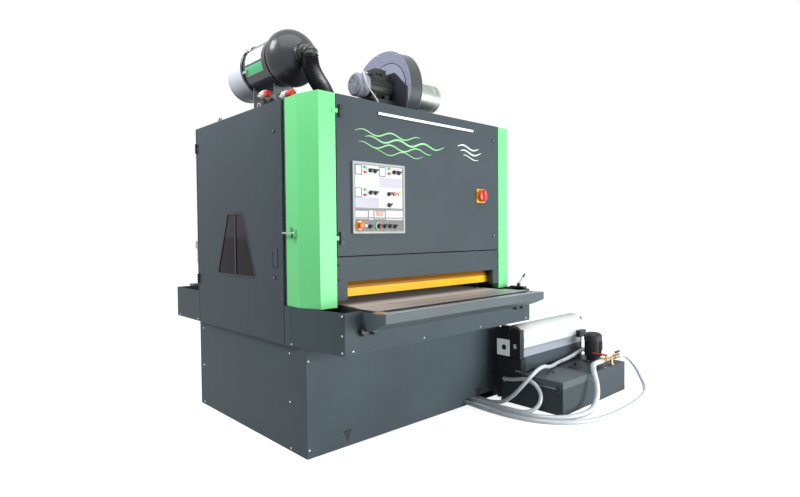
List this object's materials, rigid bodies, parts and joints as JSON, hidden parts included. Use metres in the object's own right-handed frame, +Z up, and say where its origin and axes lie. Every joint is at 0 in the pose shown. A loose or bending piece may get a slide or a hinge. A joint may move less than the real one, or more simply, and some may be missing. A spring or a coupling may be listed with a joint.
{
  "type": "wet wide-belt sheet-metal finishing machine",
  "caption": "Wide-belt wet finishing machine for sheet metal: dark cabinet on a base, green corner pillars, belt table, roof filter and fan, coolant unit.",
  "frame": {"origin": "on the floor, in the middle of the machine's base", "axes": "+X to the right as seen from the infeed side, +Y towards the outfeed, +Z up"},
  "size_m": [2.9098, 3.075, 2.762],
  "materials": {
    "abrasive": "abrasive grit cloth",
    "bare_steel": "ground steel",
    "bed_paint": "satin anthracite paint",
    "belt_rubber": "pale ribbed rubber belt",
    "black_paint": "black satin paint",
    "black_plastic": "black moulded plastic",
    "brass": "brass fittings",
    "cable_grey": "light grey cable jacket",
    "dark_paint": "fine-textured satin anthracite paint",
    "fleece": "white filter fleece",
    "galvanized": "galvanized sheet",
    "glass": "dark tinted pane",
    "green_paint": "bright green gloss paint",
    "grey_plastic": "light grey plastic",
    "hose_clear": "translucent spiral hose",
    "light_panel": "pale grey satin",
    "red_plastic": "red plastic",
    "white_plastic": "white plastic",
    "yellow_paint": "yellow paint"
  },
  "bodies": {
    "root": {"abrasive_belts": "abrasive", "air_mounts": "black_plastic", "air_units": "white_plastic", "base_frame": "bed_paint", "base_panels": "bed_paint", "bed_skirt": "bed_paint", "bed_tray": "bed_paint", "cabinet_posts": "dark_paint", "conveyor_belt": "belt_rubber", "conveyor_frame": "dark_paint", "coolant_pump": "black_paint", "coolant_tank": "dark_paint", "corner_pillars": "green_paint", "drain_hose": "hose_clear", "fan_cable": "cable_grey", "fan_motor": "dark_paint", "fan_scroll": "dark_paint", "fan_spigot": "galvanized", "fan_stand": "black_paint", "feed_hose": "hose_clear", "filter_can": "grey_plastic", "filter_dome": "black_plastic", "filter_drum": "black_plastic", "filter_stand": "light_panel", "filter_trough": "bed_paint", "fixed_hinges": "black_paint", "fleece_roll": "fleece", "head_frames": "light_panel", "head_rollers": "black_plastic", "interlock": "bare_steel", "lifting_eyes": "bare_steel", "manifold": "brass", "rear_wall": "dark_paint", "return_hose": "hose_clear", "right_cover": "dark_paint", "roof": "dark_paint", "side_lever": "black_plastic", "slot_guard": "yellow_paint", "slot_panel": "dark_paint", "spray_hose": "hose_clear", "suction_hose": "black_plastic", "table_aprons": "bed_paint", "table_rollers": "bare_steel", "tank_deck": "dark_paint", "tank_lid": "dark_paint", "trough_frames": "light_panel", "unit_covers": "black_paint", "valve_levers": "red_plastic"},
    "front_door": {"front_door": "dark_paint", "front_door_fittings": "black_paint", "light_bar": "white_plastic", "control_panel": "light_panel", "panel_knobs": "black_plastic", "panel_buttons": "white_plastic", "emergency_stop": "red_plastic", "main_switch_plate": "yellow_paint"},
    "side_door": {"side_door": "dark_paint", "side_door_fittings": "black_paint", "side_window": "glass"},
    "main_switch": {"main_switch_handle": "red_plastic"}
  },
  "joints": [
    {"name": "front_door_hinge", "type": "hinge", "parent": "root", "child": "front_door", "pos_m": [-0.7575, -0.8765, 1.685], "axis": [0, 0, -1], "range_deg": [0, 105]},
    {"name": "side_door_hinge", "type": "hinge", "parent": "root", "child": "side_door", "pos_m": [-0.9625, 0.7215, 1.5], "axis": [0, 0, -1], "range_deg": [0, 110]},
    {"name": "main_switch_turn", "type": "hinge", "parent": "front_door", "child": "main_switch", "pos_m": [0.559, -0.8895, 1.613], "axis": [0, -1, 0], "range_deg": [0, 90]}
  ]
}
